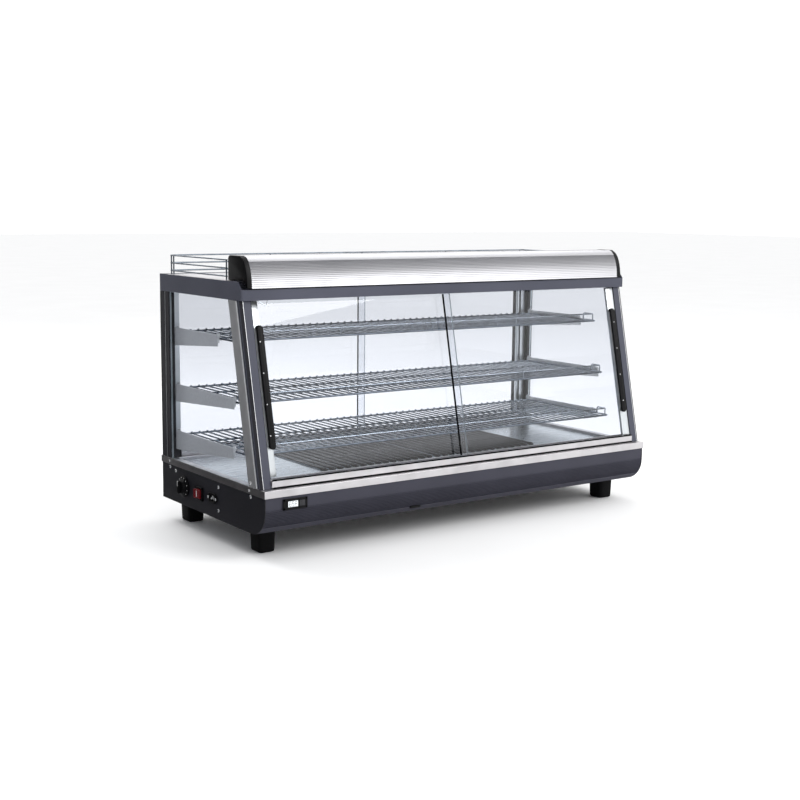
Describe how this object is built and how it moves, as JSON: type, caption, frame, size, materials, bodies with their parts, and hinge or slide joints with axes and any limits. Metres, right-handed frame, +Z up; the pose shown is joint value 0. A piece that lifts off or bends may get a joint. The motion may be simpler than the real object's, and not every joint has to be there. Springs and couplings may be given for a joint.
{
  "type": "hot food display case",
  "caption": "Countertop heated display case: painted base with controls, leaning glazed front, sliding glass doors front and back, lift-off wire racks, lit canopy.",
  "frame": {"origin": "centre of the footprint, at the level of the counter that the feet stand on", "axes": "+X to the customer's right along the front, +Y from the leaning customer side to the staff side, +Z up"},
  "size_m": [1.219, 0.54, 0.6919],
  "materials": {
    "slate_paint": "satin slate grey stoving enamel",
    "dark_paint": "satin dark slate stoving enamel",
    "brushed_stainless": "brushed stainless sheet",
    "polished_stainless": "bright polished stainless sheet",
    "shaded_steel": "dull stainless sheet",
    "chrome_wire": "chromed steel wire",
    "element_steel": "heat-stained tubular element sheath",
    "heater_enamel": "dark heat-proof enamel",
    "black_plastic": "moulded black plastic",
    "red_lens": "translucent red rocker",
    "lamp_diffuser": "opal lamp diffuser",
    "foot_rubber": "moulded black rubber",
    "clear_glass": "clear tempered glass"
  },
  "bodies": {
    "cabinet": {"base_front_panel": "slate_paint", "base_side_left": "dark_paint", "base_side_right": "dark_paint", "base_rear_panel": "dark_paint", "base_bottom_plate": "dark_paint", "foot_front_left": "foot_rubber", "foot_front_right": "foot_rubber", "foot_rear_left": "foot_rubber", "foot_rear_right": "foot_rubber", "thermostat_body": "shaded_steel", "power_switch_body": "black_plastic", "power_inlet": "black_plastic", "thermometer": "black_plastic", "deck_trim": "brushed_stainless", "floor_deck": "brushed_stainless", "heating_element": "element_steel", "front_track": "brushed_stainless", "rear_track": "brushed_stainless", "front_post_left": "slate_paint", "front_post_right": "slate_paint", "front_post_strip_left": "shaded_steel", "front_post_strip_right": "shaded_steel", "rear_post_left": "dark_paint", "rear_post_right": "dark_paint", "side_glass_left": "clear_glass", "side_glass_right": "clear_glass", "top_front_rail": "slate_paint", "top_rear_rail": "slate_paint", "top_side_band_left": "slate_paint", "top_side_band_right": "slate_paint", "top_panel": "brushed_stainless", "hood_cover": "polished_stainless", "hood_end_cap_left": "black_plastic", "hood_end_cap_right": "black_plastic", "lamp_batten": "lamp_diffuser", "gallery_rail_left": "chrome_wire", "gallery_rail_right": "chrome_wire", "gallery_rail_rear": "chrome_wire", "bracket_arm_upper_left": "shaded_steel", "bracket_arm_upper_right": "shaded_steel", "bracket_arm_middle_left": "shaded_steel", "bracket_arm_middle_right": "shaded_steel", "bracket_arm_lower_left": "shaded_steel", "bracket_arm_lower_right": "shaded_steel"},
    "left_front_door": {"front_door_left": "clear_glass", "front_handle_left": "black_plastic"},
    "right_front_door": {"front_door_right": "clear_glass", "front_handle_right": "black_plastic"},
    "left_rear_door": {"rear_door_left": "clear_glass"},
    "right_rear_door": {"rear_door_right": "clear_glass"},
    "knob": {"thermostat_knob": "black_plastic"},
    "rocker": {"power_switch_rocker": "red_lens"},
    "upper_rack": {"rack_upper": "chrome_wire", "rack_guard_upper": "chrome_wire"},
    "middle_rack": {"rack_middle": "chrome_wire", "rack_guard_middle": "chrome_wire"},
    "lower_rack": {"rack_lower": "chrome_wire", "rack_guard_lower": "chrome_wire"},
    "left_heater_cover": {"heater_cover_left": "heater_enamel"},
    "right_heater_cover": {"heater_cover_right": "heater_enamel"}
  },
  "joints": [
    {"name": "front_door_left_slide", "type": "slide", "parent": "cabinet", "child": "left_front_door", "axis": [1, 0, 0], "range_m": [0, 0.53]},
    {"name": "front_door_right_slide", "type": "slide", "parent": "cabinet", "child": "right_front_door", "axis": [-1, 0, 0], "range_m": [0, 0.53]},
    {"name": "rear_door_left_slide", "type": "slide", "parent": "cabinet", "child": "left_rear_door", "axis": [1, 0, 0], "range_m": [0, 0.54]},
    {"name": "rear_door_right_slide", "type": "slide", "parent": "cabinet", "child": "right_rear_door", "axis": [-1, 0, 0], "range_m": [0, 0.54]},
    {"name": "thermostat_turn", "type": "hinge", "parent": "cabinet", "child": "knob", "pos_m": [-0.5885, 0.14, 0.106], "axis": [1, 0, 0], "range_deg": [0, 270]},
    {"name": "power_switch_rock", "type": "hinge", "parent": "cabinet", "child": "rocker", "pos_m": [-0.5885, 0.056, 0.104], "axis": [0, 0, 1], "range_deg": [-16, 0]},
    {"name": "rack_upper_lift", "type": "slide", "parent": "cabinet", "child": "upper_rack", "axis": [0, 0, 1], "range_m": [0, 0.03]},
    {"name": "rack_middle_lift", "type": "slide", "parent": "cabinet", "child": "middle_rack", "axis": [0, 0, 1], "range_m": [0, 0.03]},
    {"name": "rack_lower_lift", "type": "slide", "parent": "cabinet", "child": "lower_rack", "axis": [0, 0, 1], "range_m": [0, 0.03]},
    {"name": "heater_cover_left_lift", "type": "slide", "parent": "cabinet", "child": "left_heater_cover", "axis": [0, 0, 1], "range_m": [0, 0.03]},
    {"name": "heater_cover_right_lift", "type": "slide", "parent": "cabinet", "child": "right_heater_cover", "axis": [0, 0, 1], "range_m": [0, 0.03]}
  ]
}
